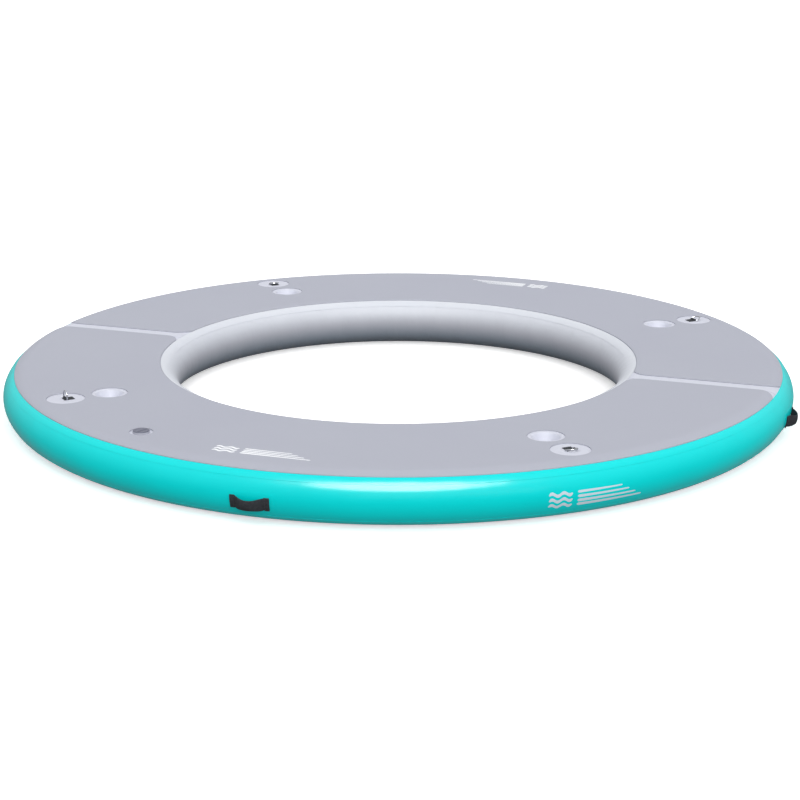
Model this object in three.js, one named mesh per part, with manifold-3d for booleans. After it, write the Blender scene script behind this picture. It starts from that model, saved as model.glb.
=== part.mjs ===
// A round inflatable swim and tow platform: an air chamber of drop-stitch fabric in the shape of a flat
// ring, with a foam deck in two halves, four towing rings, four drink recesses, four handles and a valve.
// Millimetres, +Z up. The origin is the ring's centre on the plane it lies on. The two joints across the deck
// lie on the X axis, and the front is -Y.

import * as THREE from "three";
import { mergeVertices } from "three/addons/utils/BufferGeometryUtils.js";
import Module from "manifold-3d";

const wasm = await Module();
wasm.setup();

// ---- Driving dimensions ----

// Air chamber
const overallDiameter = 3352; // across the outer wall
const openingDiameter = 1878; // across the inner wall, where it bulges most
const chamberHeight = 203; // over the two skins
const skinThickness = 1.2;
const bondGap = 0.3; // between pieces that are glued or laid on each other
const ringSteps = 48; // facets round the ring
const valveSteps = 28; // facets round the valve

// Where the wall strips meet the skins, in degrees above the middle of the wall
const outerJointAngle = 50.6;
const innerJointAngle = 64;
const tapeThickness = 0.9;
const outerTapeWidth = 30;
const innerTapeWidth = 42;
const jointTapeWidth = 60; // the straight tapes across the deck and the bottom

// Foam deck
const padThickness = 4;
const padClearance = 1; // round what stands in the deck's cut-outs, and to the tapes round the ring
const padJointClearance = 3; // to the straight tapes across the deck

// Drop yarns, which stand in rows between the skins
const yarnRowThickness = 1;

// Towing rings
const fittingAzimuths = { back_right: 44, back_left: 134, front_left: -133.4, front_right: -45.4 };
const towRingInset = 188; // from the overall radius to the ring's patch centre
const towPatchRadius = 76;
const patchThickness = 0.9;
const wireRadius = 2.75;
const ringSideClearance = 1; // between the webbing and the ring's sides
const towRingArm = 8; // straight part of each side, before the bow
const weldBulge = 0.15; // of the bent corners over the wire
const webbingWidth = 37;
const webbingThickness = 1.8;
const webbingFoot = 5.6; // outwards of the tunnel
const webbingTail = 28; // inwards of it
const hingeClearance = 0.45;
const towRingRaise = { back_right: 20, back_left: 165, front_left: 88, front_right: 14 }; // 0 lies outwards

// Drink recesses
const recessInset = 372; // from the overall radius to the recess's centre
const recessMouthRadius = 60;
const recessRimWidth = 11;
const recessFloorRadius = 36;
const recessDepth = 30; // from the rim's top to the floor
const recessWall = 1.5;
const recessHoleMargin = 2; // of the hole in the skin, round the mouth

// Carry handles
const handleAzimuths = { right: 1, back: 90, left: 180, front: -89 };
const handleHeight = 84; // of its middle, above the ground
const handleSpan = 152; // over the strap's two feet
const handleFoot = 20;
const handleRise = 30; // of the strap's middle over the wall
const strapWidth = 45;
const strapThickness = 3.2;
const strapFootProud = 1.2; // of a foot's middle, over the patch
const strapSeat = 14; // how far the feet follow the wall inwards, above and below
const handlePatchLength = 190;
const handlePatchWidth = 74;
const handlePatchCorner = 18;

// Air valve
const valveAzimuth = -111.2;
const valveInset = 189;
const valveBoreRadius = 19.5;
const valveWall = 4;
const valveBarrelDepth = 30;
const valveFlangeHeight = 6;
const valveFlangeRim = 5.7; // outside the cap's socket
const valveFlangeEdge = 2.5; // its bevel
const valveSeatDepth = 22;
const valveSeatThickness = 3;
const valveSeatWidth = 4;
const socketFloor = 1; // of the cap's socket, over the skin
const socketLedge = 6.8; // from the bore out to the cap's plug
const valveClearance = 1;
const gasketThickness = 1.5;
const nutThickness = 7;
const capHeadOverlap = 4.7; // of the head over the plug
const capHeadThickness = 2.6;
const capDish = 2;
const capWall = 2;
const capRim = 6; // width of the head's raised rim
const capBevel = 1;
const thumbBarWidth = 7;
const tetherThickness = 1.4;
const tetherWidth = 7;
const tetherTail = 13; // from the cap's head to the tether's bend
const lugWidth = 9;
const stemRadius = 2.7;
const discThickness = 3;
const discClearance = 1.5;
const buttonRadius = 7;
const buttonHeight = 3;
const crossBarWidth = 7;
const springRadius = 5;
const springHeight = 9.4;
const springWire = 0.5;
const springTurns = 4;

// ---- Derived places ----

const outerRadius = overallDiameter / 2;
const openingRadius = openingDiameter / 2;
const edgeRadius = chamberHeight / 2; // the walls are half round
const middleHeight = edgeRadius;
const outerCentre = outerRadius - edgeRadius; // radius at which the outer edge starts to round
const innerCentre = openingRadius + edgeRadius;
const deckBase = chamberHeight; // the top skin's outer face

const pvcGrey = new THREE.MeshStandardMaterial({ color: 0xd3d6de, roughness: 0.45 });
const pvcTeal = new THREE.MeshStandardMaterial({ color: 0x05d5d5, roughness: 0.35 });
const deckFoam = new THREE.MeshStandardMaterial({ color: 0xb4b5c2, roughness: 0.85 });
const blackWebbing = new THREE.MeshStandardMaterial({ color: 0x1b1d21, roughness: 0.9 });
const whiteYarn = new THREE.MeshStandardMaterial({ color: 0xe8e8e4, roughness: 0.9 });
const stainless = new THREE.MeshStandardMaterial({ color: 0xb9bbbe, roughness: 0.2, metalness: 1 });
const valvePlastic = new THREE.MeshStandardMaterial({ color: 0x4a4d53, roughness: 0.5 });
const sealRubber = new THREE.MeshStandardMaterial({ color: 0x1d1d1d, roughness: 0.8 });

const platform = new THREE.Group();

// ---- Solids ----

const radians = THREE.MathUtils.degToRad;
const point = (x, y) => new THREE.Vector2(x, y);

// A closed geometry as a solid that can be cut and joined.
function solidOf(geometry) {
  const bare = geometry.clone();
  bare.deleteAttribute("normal");
  bare.deleteAttribute("uv");
  const merged = mergeVertices(bare, 1e-3);
  return new wasm.Manifold(
    new wasm.Mesh({
      numProp: 3,
      vertProperties: merged.attributes.position.array,
      triVerts: new Uint32Array(merged.index.array),
    }),
  );
}

function geometryOf(solid) {
  const mesh = solid.getMesh();
  return new THREE.BufferGeometry()
    .setAttribute("position", new THREE.BufferAttribute(mesh.vertProperties, 3))
    .setIndex(new THREE.BufferAttribute(mesh.triVerts, 1));
}

// Turns a closed profile of (radius, height) points round the Z axis.
function turned(profile, steps = ringSteps) {
  const onAxis = profile[0].x === 0;
  const ring = THREE.ShapeUtils.area(profile) < 0 ? [...profile].reverse() : profile;
  const closed = onAxis ? ring : [...ring, ring[0]];
  return solidOf(new THREE.LatheGeometry(closed, steps).rotateX(Math.PI / 2));
}

function extruded(outline, depth, curveSegments = 8) {
  const geometry = new THREE.ExtrudeGeometry(outline, { depth, bevelEnabled: false, curveSegments });
  return solidOf(geometry);
}

function block(size, centre) {
  return solidOf(new THREE.BoxGeometry(...size).translate(...centre));
}

// A flat bar along +X between two distances from the Z axis, and between two heights.
function spoke(start, end, width, low, high) {
  return block([end - start, width, high - low], [(start + end) / 2, 0, (low + high) / 2]);
}

// An upright cylinder between two heights.
function post(radius, low, high, steps = 24) {
  const geometry = new THREE.CylinderGeometry(radius, radius, high - low, steps).rotateX(Math.PI / 2);
  return solidOf(geometry.translate(0, 0, (low + high) / 2));
}

function moved(solid, azimuth, radius, height = 0) {
  return solid
    .translate([radius, 0, height])
    .rotate([0, 0, azimuth]);
}

function addNode(name, solid, material, parent = platform) {
  const mesh = new THREE.Mesh(geometryOf(solid), material);
  mesh.name = name;
  parent.add(mesh);
  return mesh;
}

// A point on a wall's half round edge, at an angle in degrees above its middle.
function outerEdge(distance, angle) {
  const a = radians(angle);
  return point(outerCentre + distance * Math.cos(a), middleHeight + distance * Math.sin(a));
}

function innerEdge(distance, angle) {
  const a = radians(angle);
  return point(innerCentre - distance * Math.cos(a), middleHeight + distance * Math.sin(a));
}

// A layer of the given thickness whose inner face lies at a distance from the edge's centre.
function layer(places, distance, thickness) {
  const near = places.map(([edge, angle]) => edge(distance, angle));
  const far = places.map(([edge, angle]) => edge(distance + thickness, angle));
  return [...far, ...near.reverse()];
}

const arcAngle = (length) => THREE.MathUtils.radToDeg(length / edgeRadius);
const skinInside = edgeRadius - skinThickness;
const buttHalf = arcAngle(bondGap) / 2;
const overlayDistance = edgeRadius + bondGap;

// ---- Air chamber ----

const tapeHalf = { outer: arcAngle(outerTapeWidth) / 2, inner: arcAngle(innerTapeWidth) / 2 };
const padEdge = {
  outer: outerJointAngle + tapeHalf.outer + arcAngle(padClearance),
  inner: innerJointAngle + tapeHalf.inner + arcAngle(padClearance),
};

// Angles from the outer wall over the flat to the inner wall, of a skin and of what lies on the deck.
const shoulderAngle = (outerJointAngle + tapeHalf.outer + 90) / 2;
const skinPlaces = [
  [outerEdge, outerJointAngle + buttHalf],
  [outerEdge, outerJointAngle + tapeHalf.outer],
  [outerEdge, shoulderAngle],
  [outerEdge, 90],
  [innerEdge, 90],
  [innerEdge, innerJointAngle + tapeHalf.inner],
  [innerEdge, innerJointAngle + buttHalf],
];
const deckPlaces = [
  [outerEdge, padEdge.outer],
  [outerEdge, shoulderAngle],
  [outerEdge, 90],
  [innerEdge, 90],
  [innerEdge, padEdge.inner],
];

const half = { front: -1, back: 1 };

// One of the two halves of a ring, cut along the X axis.
function halfRing(solid, side, gap) {
  const reach = overallDiameter;
  const centre = [0, (side * (reach + gap)) / 2, middleHeight];
  const cutter = block([2 * reach, reach, 3 * chamberHeight], centre);
  return solid.intersect(cutter);
}

function flipped(solid) {
  return solid.mirror([0, 0, 1]).translate([0, 0, chamberHeight]);
}

const recessHoleRadius = recessMouthRadius + recessHoleMargin;
const recessRimRadius = recessMouthRadius + recessRimWidth;
const padGap = jointTapeWidth + 2 * padJointClearance;
const valveBarrelRadius = valveBoreRadius + valveWall;
const valveHoleRadius = valveBarrelRadius + valveClearance;
const capPlugRadius = valveBoreRadius + socketLedge;
const capHeadRadius = capPlugRadius + capHeadOverlap;
const socketRadius = capPlugRadius + valveClearance;
const valveFlangeRadius = socketRadius + valveFlangeRim;
const tetherReach = capHeadRadius + tetherTail;
const recessRadius = outerRadius - recessInset;
const towRingRadius = outerRadius - towRingInset;
const valveRadius = outerRadius - valveInset;

function makeSkins() {
  const skin = turned(layer(skinPlaces, skinInside, skinThickness));
  let topSkin = skin;
  for (const azimuth of Object.values(fittingAzimuths)) {
    const hole = post(recessHoleRadius, -edgeRadius, edgeRadius);
    topSkin = topSkin.subtract(moved(hole, azimuth, recessRadius, deckBase));
  }
  const valveHole = post(valveHoleRadius, -edgeRadius, edgeRadius);
  topSkin = topSkin.subtract(moved(valveHole, valveAzimuth, valveRadius, deckBase));
  for (const [name, side] of Object.entries(half)) {
    addNode(`top_skin_${name}`, halfRing(topSkin, side, bondGap), pvcGrey);
    addNode(`bottom_skin_${name}`, halfRing(flipped(skin), side, bondGap), pvcGrey);
  }
}

// Angles of a wall from its upper joint down to its lower one.
function wallPlaces(edge, joint, tape) {
  const end = joint - tape;
  const upper = [joint - buttHalf, end, end / 2];
  return [...upper, 0, ...upper.map((angle) => -angle).reverse()].map((angle) => [edge, angle]);
}

const outerWallPlaces = wallPlaces(outerEdge, outerJointAngle, tapeHalf.outer);
const innerWallPlaces = wallPlaces(innerEdge, innerJointAngle, tapeHalf.inner);

function makeWalls() {
  addNode("outer_wall", turned(layer(outerWallPlaces, skinInside, skinThickness)), pvcTeal);
  addNode("inner_wall", turned(layer(innerWallPlaces, skinInside, skinThickness)), pvcGrey);
}

// The tapes that cover the joints between the walls and the skins.
function makeSeamTapes() {
  const tape = (edge, joint, reach) => {
    const places = [joint + reach, joint, joint - reach].map((angle) => [edge, angle]);
    return turned(layer(places, overlayDistance, tapeThickness));
  };
  const outerTape = tape(outerEdge, outerJointAngle, tapeHalf.outer);
  const innerTape = tape(innerEdge, innerJointAngle, tapeHalf.inner);
  addNode("outer_top_seam_tape", outerTape, pvcTeal);
  addNode("outer_bottom_seam_tape", flipped(outerTape), pvcTeal);
  addNode("inner_top_seam_tape", innerTape, pvcGrey);
  addNode("inner_bottom_seam_tape", flipped(innerTape), pvcGrey);
}

// The straight tapes over the joints between the skins' halves: outside on the top, inside on the bottom.
function makeJointTapes() {
  const over = turned(layer(deckPlaces, overlayDistance, tapeThickness));
  const flat = deckPlaces.filter(([, angle]) => angle === 90);
  const under = flipped(turned(layer(flat, skinInside - bondGap - tapeThickness, tapeThickness)));
  for (const [name, side] of Object.entries({ right: 1, left: -1 })) {
    const size = [2 * outerRadius, jointTapeWidth, 3 * chamberHeight];
    const strip = block(size, [side * outerRadius, 0, middleHeight]);
    addNode(`top_joint_tape_${name}`, over.intersect(strip), pvcGrey);
    addNode(`bottom_joint_tape_${name}`, under.intersect(strip), pvcGrey);
  }
}

// Rows of drop yarns hold the skins a fixed height apart, so that the chamber stays flat under pressure.
function makeDropYarns() {
  const low = skinThickness + 2 * bondGap + tapeThickness;
  const high = chamberHeight - skinThickness - bondGap;
  const recessInner = recessRadius - recessHoleRadius;
  const valveOuter = valveRadius + valveFlangeRadius;
  const rows = [
    THREE.MathUtils.lerp(innerCentre, recessInner, 1 / 3),
    THREE.MathUtils.lerp(innerCentre, recessInner, 2 / 3),
    (recessRadius + recessHoleRadius + valveRadius - valveFlangeRadius) / 2,
    (valveOuter + outerCentre) / 2,
  ];
  rows.forEach((radius, i) => {
    const section = [
      point(radius, low),
      point(radius + yarnRowThickness, low),
      point(radius + yarnRowThickness, high),
      point(radius, high),
    ];
    addNode(`drop_yarns_row_${i + 1}`, turned(section), whiteYarn);
  });
}

// ---- Foam deck ----

function makeDeck() {
  let pad = turned(layer(deckPlaces, overlayDistance, padThickness));
  const cuts = [[tetherReach + 2 * padClearance, valveAzimuth, valveRadius]];
  for (const azimuth of Object.values(fittingAzimuths)) {
    cuts.push([towPatchRadius + padClearance, azimuth, towRingRadius]);
    cuts.push([recessRimRadius + padClearance, azimuth, recessRadius]);
  }
  for (const [radius, azimuth, distance] of cuts) {
    pad = pad.subtract(moved(post(radius, -edgeRadius, edgeRadius), azimuth, distance, deckBase));
  }
  for (const [name, side] of Object.entries(half)) {
    addNode(`deck_pad_${name}`, halfRing(pad, side, padGap), deckFoam);
  }
}

// ---- Drink recesses ----

function makeRecesses() {
  const rimTop = bondGap + recessWall;
  const floor = rimTop - recessDepth;
  const steps = 5;
  const slope = (offset) =>
    Array.from({ length: steps + 1 }, (_, i) => {
      const share = i / steps;
      const rise = THREE.MathUtils.smoothstep(share, 0, 1);
      const radius = THREE.MathUtils.lerp(recessFloorRadius, recessMouthRadius, share);
      return point(radius + offset, floor + recessDepth * rise - offset);
    });
  const above = [point(0, floor), ...slope(0), point(recessRimRadius, rimTop)];
  const below = [point(0, floor - recessWall), ...slope(recessWall), point(recessRimRadius, bondGap)];
  const bowl = turned([...above, ...below.reverse()], 20);
  for (const [name, azimuth] of Object.entries(fittingAzimuths)) {
    addNode(`drink_recess_${name}`, moved(bowl, azimuth, recessRadius, deckBase), pvcGrey);
  }
}

// ---- Towing rings ----

const patchTop = bondGap + patchThickness;
const towRingInnerWidth = webbingWidth + 2 * ringSideClearance;
const towHinge = patchTop + hingeClearance + wireRadius; // the bar's height over the skin

// A round wire along a path.
function wire(path, radius, steps, sides = 8) {
  const section = new THREE.Shape(
    Array.from({ length: sides }, (_, i) => {
      const a = (2 * Math.PI * i) / sides;
      return point(radius * Math.cos(a), radius * Math.sin(a));
    }),
  );
  return solidOf(new THREE.ExtrudeGeometry(section, { steps, bevelEnabled: false, extrudePath: path }));
}

// A towing ring lying outwards along +X, with its bar on the Y axis at the origin.
function makeTowRing() {
  const halfWidth = towRingInnerWidth / 2 + wireRadius;
  const path = new THREE.CurvePath();
  const place = (x, y) => new THREE.Vector3(x, y, 0);
  path.add(new THREE.LineCurve3(place(0, -halfWidth), place(towRingArm, -halfWidth)));
  path.add(new HalfCircle(towRingArm, halfWidth));
  path.add(new THREE.LineCurve3(place(towRingArm, halfWidth), place(0, halfWidth)));
  const bar = new THREE.CylinderGeometry(wireRadius, wireRadius, 2 * halfWidth, 8);
  let ring = wire(path, wireRadius, 20).add(solidOf(bar));
  for (const side of [-1, 1]) {
    const corner = new THREE.SphereGeometry(wireRadius + weldBulge, 10, 6).translate(0, side * halfWidth, 0);
    ring = ring.add(solidOf(corner));
  }
  return ring;
}

// Half a circle in the XY plane, from -Y to +Y round its outer side.
class HalfCircle extends THREE.Curve {
  constructor(centre, radius) {
    super();
    this.centre = centre;
    this.radius = radius;
  }
  getPoint(t, target = new THREE.Vector3()) {
    const a = (t - 0.5) * Math.PI;
    return target.set(this.centre + this.radius * Math.cos(a), this.radius * Math.sin(a), 0);
  }
}

// The webbing that holds a towing ring's bar: a tunnel along the Y axis, with a short foot outwards of it
// and a long tail inwards.
function makeTowWebbing() {
  const inside = wireRadius + hingeClearance;
  const outside = inside + webbingThickness;
  const base = patchTop + bondGap;
  const outline = new THREE.Shape();
  outline.moveTo(-outside - webbingTail, base);
  outline.lineTo(-inside, base);
  outline.lineTo(-inside, towHinge);
  outline.absarc(0, towHinge, inside, Math.PI, 0, true);
  outline.lineTo(inside, base);
  outline.lineTo(outside + webbingFoot, base);
  outline.lineTo(outside + webbingFoot, base + webbingThickness);
  outline.lineTo(outside, base + webbingThickness);
  outline.lineTo(outside, towHinge);
  outline.absarc(0, towHinge, outside, 0, Math.PI, false);
  outline.lineTo(-outside, base + webbingThickness);
  outline.lineTo(-outside - webbingTail, base + webbingThickness);
  return extruded(outline, webbingWidth, 6)
    .translate([0, 0, -webbingWidth / 2])
    .rotate([90, 0, 0]);
}

function makeTowFittings() {
  const patch = post(towPatchRadius, bondGap, patchTop, 32);
  const webbing = makeTowWebbing();
  const ring = makeTowRing();
  for (const [name, azimuth] of Object.entries(fittingAzimuths)) {
    addNode(`tow_patch_${name}`, moved(patch, azimuth, towRingRadius, deckBase), pvcGrey);
    addNode(`tow_webbing_${name}`, moved(webbing, azimuth, towRingRadius, deckBase), blackWebbing);
    const raised = ring.rotate([0, -towRingRaise[name], 0]);
    addNode(`tow_ring_${name}`, moved(raised, azimuth, towRingRadius, deckBase + towHinge), stainless);
  }
}

// ---- Carry handles ----

// What the outer wall takes up out to a distance from its edge's centre, to seat the handles on.
function wallCore(distance) {
  const flank = outerWallPlaces.map(([edge, angle]) => edge(distance, angle));
  return turned([point(openingRadius, flank[0].y), ...flank, point(openingRadius, flank.at(-1).y)]);
}

const handlePatchFace = overlayDistance + patchThickness;

function roundedRectangle(length, width, corner) {
  const [x, y] = [length / 2 - corner, width / 2 - corner];
  const outline = new THREE.Shape();
  outline.absarc(x, y, corner, 0, Math.PI / 2, false);
  outline.absarc(-x, y, corner, Math.PI / 2, Math.PI, false);
  outline.absarc(-x, -y, corner, Math.PI, 1.5 * Math.PI, false);
  outline.absarc(x, -y, corner, 1.5 * Math.PI, 2 * Math.PI, false);
  return outline;
}

function makeHandles() {
  const patchShell = wallCore(handlePatchFace).subtract(wallCore(overlayDistance));
  const seat = wallCore(handlePatchFace + bondGap);
  const outline = roundedRectangle(handlePatchLength, handlePatchWidth, handlePatchCorner);
  const patchBlock = extruded(outline, edgeRadius, 3)
    .rotate([90, 0, 90])
    .translate([outerCentre + edgeRadius / 2, 0, handleHeight]);
  const strap = makeStrap();
  for (const [name, azimuth] of Object.entries(handleAzimuths)) {
    const turn = [0, 0, azimuth];
    addNode(`handle_patch_${name}`, patchShell.intersect(patchBlock.rotate(turn)), pvcTeal);
    addNode(`handle_strap_${name}`, strap.rotate(turn).subtract(seat), blackWebbing);
  }
}

// A strap on the X axis: it arches out of the wall between two feet, which lie on its patch.
function makeStrap() {
  const reach = handleSpan / 2;
  const arch = reach - handleFoot;
  const footTop = outerCentre + handlePatchFace + bondGap + strapFootProud;
  const back = outerRadius - strapSeat;
  const steps = 12;
  const line = (offset) =>
    Array.from({ length: steps + 1 }, (_, i) => {
      const y = THREE.MathUtils.lerp(-arch, arch, i / steps);
      const rise = Math.sqrt(Math.max(0, Math.cos((Math.PI * y) / (2 * arch))));
      return point(footTop - offset + handleRise * rise, y);
    });
  const over = [point(footTop, -reach), ...line(0), point(footTop, reach)];
  const under = line(strapThickness).reverse().slice(1, -1);
  const feet = [point(back, reach), point(back, arch), ...under, point(back, -arch), point(back, -reach)];
  const strap = extruded(new THREE.Shape([...over, ...feet]), strapWidth);
  return strap.translate([0, 0, handleHeight - strapWidth / 2]);
}

// ---- Air valve ----

// The middle line of a coil spring between two heights round the Z axis.
class Helix extends THREE.Curve {
  constructor(radius, low, high, turns) {
    super();
    Object.assign(this, { radius, low, high, turns });
  }
  getPoint(t, target = new THREE.Vector3()) {
    const a = 2 * Math.PI * this.turns * t;
    const height = THREE.MathUtils.lerp(this.low, this.high, t);
    return target.set(this.radius * Math.cos(a), this.radius * Math.sin(a), height);
  }
}

// The valve's pieces are made round the Z axis over the skin's outer face, with the lug and tether along +X.
const placedValve = (solid) => moved(solid.rotate([0, 0, 180]), valveAzimuth, valveRadius, deckBase);
const seatTop = valveSeatThickness - valveSeatDepth;

// A flat ring between two radii and two heights.
function washer(inner, outer, low, high) {
  return turned([point(inner, low), point(outer, low), point(outer, high), point(inner, high)], valveSteps);
}

// A flange on the skin with the cap's socket, a barrel into the chamber, and a cross bar for the stem.
function makeValveBody() {
  const seatRadius = valveBoreRadius - valveSeatWidth;
  const profile = [
    point(valveBoreRadius, -valveBarrelDepth),
    point(valveBarrelRadius, -valveBarrelDepth),
    point(valveBarrelRadius, bondGap),
    point(valveFlangeRadius, bondGap),
    point(valveFlangeRadius, valveFlangeHeight - valveFlangeEdge),
    point(valveFlangeRadius - valveFlangeEdge, valveFlangeHeight),
    point(socketRadius, valveFlangeHeight),
    point(socketRadius, socketFloor),
    point(valveBoreRadius, socketFloor),
    point(valveBoreRadius, seatTop),
    point(seatRadius, seatTop),
    point(seatRadius, -valveSeatDepth),
    point(valveBoreRadius, -valveSeatDepth),
  ];
  const barSize = [2 * valveBoreRadius + valveClearance, crossBarWidth, valveSeatThickness];
  const crossBar = block(barSize, [0, 0, (seatTop - valveSeatDepth) / 2]);
  const hub = post(buttonRadius, -valveSeatDepth, seatTop, 16);
  const stemHole = post(stemRadius + valveClearance / 2, -valveBarrelDepth, 0, 16);
  const lug = spoke(socketRadius + valveClearance, tetherReach, lugWidth, bondGap, valveFlangeHeight);
  const body = turned(profile, valveSteps).add(crossBar).add(hub).subtract(stemHole).add(lug);
  addNode("valve_body", placedValve(body), valvePlastic);
}

// The gasket and the nut clamp the skin to the flange from inside.
function makeValveClamp() {
  const gasketTop = -skinThickness - bondGap;
  const gasketLow = gasketTop - gasketThickness;
  const gasket = washer(valveHoleRadius, valveFlangeRadius, gasketLow, gasketTop);
  addNode("valve_gasket", placedValve(gasket), sealRubber);
  const nutTop = gasketLow - bondGap;
  const nut = washer(valveBarrelRadius + bondGap, valveFlangeRadius - bondGap, nutTop - nutThickness, nutTop);
  addNode("valve_nut", placedValve(nut), valvePlastic);
}

// The poppet is a button, a stem and the disc that closes the seat from below, held up by a spring.
function makePoppet() {
  const springLow = seatTop + bondGap;
  const springTop = springLow + springHeight;
  const buttonLow = springTop + bondGap;
  const buttonTop = buttonLow + buttonHeight;
  const discTop = -valveSeatDepth - bondGap;
  const discRadius = valveBoreRadius - discClearance;
  const profile = [
    point(0, discTop - discThickness),
    point(discRadius, discTop - discThickness),
    point(discRadius, discTop),
    point(stemRadius, discTop),
    point(stemRadius, buttonLow),
    point(buttonRadius, buttonLow),
    point(buttonRadius, buttonTop - capBevel),
    point(buttonRadius - capBevel, buttonTop),
    point(0, buttonTop),
  ];
  addNode("valve_poppet", placedValve(turned(profile, 20)), valvePlastic);
  const coil = new Helix(springRadius, springLow + springWire, springTop - springWire, springTurns);
  addNode("valve_spring", placedValve(wire(coil, springWire, 12 * springTurns, 6)), stainless);
}

// The cap is a hollow plug with a dished head and a thumb bar across it. A flat tether runs under the head.
function makeCap() {
  const tetherLow = valveFlangeHeight + bondGap;
  const tetherTop = tetherLow + tetherThickness;
  const collar = washer(socketRadius, capHeadRadius - bondGap, tetherLow, tetherTop);
  const tail = spoke(socketRadius + valveClearance, tetherReach, tetherWidth, tetherLow, tetherTop);
  addNode("cap_tether", placedValve(collar.add(tail)), sealRubber);

  const headLow = tetherTop + bondGap;
  const headTop = headLow + capHeadThickness;
  const dish = headTop - capDish;
  const plugLow = socketFloor + valveClearance;
  const ceiling = dish - capWall;
  const profile = [
    point(0, ceiling),
    point(capPlugRadius - capWall, ceiling),
    point(capPlugRadius - capWall, plugLow),
    point(capPlugRadius, plugLow),
    point(capPlugRadius, headLow),
    point(capHeadRadius, headLow),
    point(capHeadRadius, headTop - capBevel),
    point(capHeadRadius - capBevel, headTop),
    point(capHeadRadius - capRim, headTop),
    point(capHeadRadius - capRim - capDish, dish),
    point(0, dish),
  ];
  const barLength = 2 * (capHeadRadius - capRim + capBevel / 2);
  const barHeight = capDish + capBevel;
  const thumbBar = block([barLength, thumbBarWidth, barHeight], [0, 0, headTop - barHeight / 2]);
  addNode("valve_cap", placedValve(turned(profile, valveSteps).add(thumbBar)), valvePlastic);
}

makeSkins();
makeWalls();
makeSeamTapes();
makeJointTapes();
makeDropYarns();
makeDeck();
makeRecesses();
makeTowFittings();
makeHandles();
makeValveBody();
makeValveClamp();
makePoppet();
makeCap();

export default platform;
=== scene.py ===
from math import atan2, cos, degrees, hypot, pi, radians, sin, sqrt

import bmesh
import bpy
from mathutils import Matrix, Vector


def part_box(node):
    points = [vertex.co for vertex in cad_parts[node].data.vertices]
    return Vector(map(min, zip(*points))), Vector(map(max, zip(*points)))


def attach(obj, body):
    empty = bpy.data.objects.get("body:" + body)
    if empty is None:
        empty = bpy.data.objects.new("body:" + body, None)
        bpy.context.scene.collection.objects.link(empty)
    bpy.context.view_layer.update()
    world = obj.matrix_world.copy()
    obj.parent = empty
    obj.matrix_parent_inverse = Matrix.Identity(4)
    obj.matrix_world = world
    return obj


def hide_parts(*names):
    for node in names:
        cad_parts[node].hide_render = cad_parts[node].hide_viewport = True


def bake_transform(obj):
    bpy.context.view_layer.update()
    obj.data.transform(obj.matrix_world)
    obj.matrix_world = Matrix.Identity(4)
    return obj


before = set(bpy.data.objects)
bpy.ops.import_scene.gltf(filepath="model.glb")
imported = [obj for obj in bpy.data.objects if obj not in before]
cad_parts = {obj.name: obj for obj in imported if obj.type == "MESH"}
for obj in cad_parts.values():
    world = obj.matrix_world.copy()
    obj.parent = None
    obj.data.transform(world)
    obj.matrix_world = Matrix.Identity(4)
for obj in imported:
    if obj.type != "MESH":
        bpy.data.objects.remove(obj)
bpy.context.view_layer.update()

fittings = ["back_right", "back_left", "front_left", "front_right"]


def middleOf(node):
    low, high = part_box(node)
    return (low + high) / 2


def azimuthOf(place):
    return atan2(place.y, place.x)


def radiusOf(place):
    return hypot(place.x, place.y)


# where things are, read from the frame
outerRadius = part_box("outer_wall")[1].x
openingRadius = min(radiusOf(v.co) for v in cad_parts["inner_wall"].data.vertices)
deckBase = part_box("top_skin_front")[1].z
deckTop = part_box("deck_pad_front")[1].z
edgeRadius = middle = deckBase / 2  # the ring's edges are half round
outerCentre = outerRadius - edgeRadius
innerCentre = openingRadius + edgeRadius


def deselect():
    if bpy.context.object and bpy.context.object.mode != "OBJECT":
        bpy.ops.object.mode_set(mode="OBJECT")
    bpy.ops.object.select_all(action="DESELECT")


def only(obj):
    deselect()
    obj.select_set(True)
    bpy.context.view_layer.objects.active = obj


def edit(obj, whole=False):
    only(obj)
    bpy.ops.object.mode_set(mode="EDIT")
    bpy.ops.mesh.select_all(action="SELECT" if whole else "DESELECT")


def done(name=None):
    bpy.ops.object.mode_set(mode="OBJECT")
    obj = bpy.context.object
    if name:
        obj.name = obj.data.name = name
    return obj


def settle(obj):
    only(obj)
    bpy.ops.object.transform_apply(location=True, rotation=True, scale=True)
    return obj


def pickVerts(obj, test):
    bpy.ops.mesh.select_mode(type="VERT")
    mesh = bmesh.from_edit_mesh(obj.data)
    for v in mesh.verts:
        v.select_set(bool(test(v.co)))
    mesh.select_flush_mode()
    bmesh.update_edit_mesh(obj.data)


def pickFaces(obj, test):
    bpy.ops.mesh.select_mode(type="FACE")
    mesh = bmesh.from_edit_mesh(obj.data)
    mesh.normal_update()
    for f in mesh.faces:
        f.select_set(bool(test(f.calc_center_median(), f.normal)))
    bmesh.update_edit_mesh(obj.data)


def moveVerts(obj, place):
    for v in obj.data.vertices:
        v.co = place(v.co)
    obj.data.update()


def flipFaces(obj):
    edit(obj, whole=True)
    bpy.ops.mesh.flip_normals()
    done()


def faceOut(obj, outward):
    edit(obj, whole=True)
    bpy.ops.mesh.remove_doubles(threshold=1e-6)
    bpy.ops.mesh.normals_make_consistent(inside=False)
    done()
    score = sum(p.normal.dot(outward(p.center)) * p.area for p in obj.data.polygons)
    if score < 0:
        flipFaces(obj)


def modify(obj, kind, **settings):
    only(obj)
    modifier = obj.modifiers.new(kind.lower(), kind)
    for key, value in settings.items():
        setattr(modifier, key, value)
    bpy.ops.object.modifier_apply(modifier=modifier.name)
    return obj


def thicken(obj, thickness, offset=-1):
    return modify(obj, "SOLIDIFY", thickness=thickness, offset=offset, use_even_offset=True)


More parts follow.
